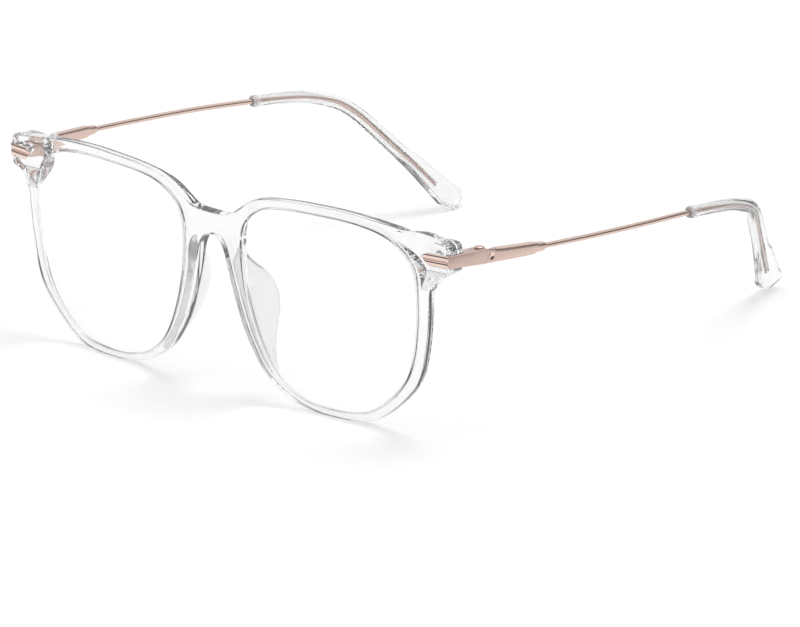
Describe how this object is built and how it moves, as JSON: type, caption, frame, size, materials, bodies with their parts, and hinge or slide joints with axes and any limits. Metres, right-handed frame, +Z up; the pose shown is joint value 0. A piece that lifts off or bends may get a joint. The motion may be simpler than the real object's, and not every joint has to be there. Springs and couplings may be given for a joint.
{
  "type": "blue light glasses",
  "caption": "Clear crystal spectacles with square lenses, moulded nose pads, rose gold endpieces, screw hinges and slim wire temples with clear tips.",
  "frame": {"origin": "centre of the box, at the surface on which the open glasses stand", "axes": "+Z up, -Y the way the wearer looks, +X the wearer's left; the X = 0 plane is the plane of symmetry"},
  "size_m": [0.1478, 0.1588, 0.0543],
  "materials": {
    "crystal_front": "clear, polished, moulded",
    "crystal_tip": "clear, polished, the core wire shows through",
    "lens": "clear optical plastic with a faint blue-violet reflex",
    "nose_pad": "clear, slightly frosted",
    "rose_gold_polished": "rose gold plate: polished flutes in front, fine brushed side plate",
    "rose_gold_brushed": "rose gold plate, satin",
    "rose_gold_stud": "rose gold plate, polished",
    "rose_gold_wire": "rose gold plate, drawn wire",
    "screw_rose_gold": "rose gold plate",
    "screw_steel": "bright steel",
    "nylon_washer": "natural nylon"
  },
  "bodies": {
    "front": {"frame_front": "crystal_front", "lens_left": "lens", "lens_right": "lens", "nose_pad_left": "nose_pad", "nose_pad_right": "nose_pad", "endpiece_left": "rose_gold_polished", "endpiece_right": "rose_gold_polished", "endpiece_screw_inner_left": "screw_steel", "endpiece_screw_outer_left": "screw_steel", "endpiece_screw_inner_right": "screw_steel", "endpiece_screw_outer_right": "screw_steel", "hinge_screw_left": "screw_rose_gold", "hinge_screw_right": "screw_rose_gold", "hinge_washer_upper_left": "nylon_washer", "hinge_washer_lower_left": "nylon_washer", "hinge_washer_upper_right": "nylon_washer", "hinge_washer_lower_right": "nylon_washer"},
    "temple_left": {"temple_block_left": "rose_gold_brushed", "temple_stud_left": "rose_gold_stud", "temple_wire_left": "rose_gold_wire", "temple_tip_left": "crystal_tip"},
    "temple_right": {"temple_block_right": "rose_gold_brushed", "temple_stud_right": "rose_gold_stud", "temple_wire_right": "rose_gold_wire", "temple_tip_right": "crystal_tip"}
  },
  "joints": [
    {"name": "temple_fold_left", "type": "hinge", "parent": "front", "child": "temple_left", "pos_m": [0.0689, -0.05926, 0.04497], "axis": [0, 0.1002, 0.995], "range_deg": [0, 85]},
    {"name": "temple_fold_right", "type": "hinge", "parent": "front", "child": "temple_right", "pos_m": [-0.0689, -0.05926, 0.04497], "axis": [0, -0.1002, -0.995], "range_deg": [0, 76]}
  ]
}
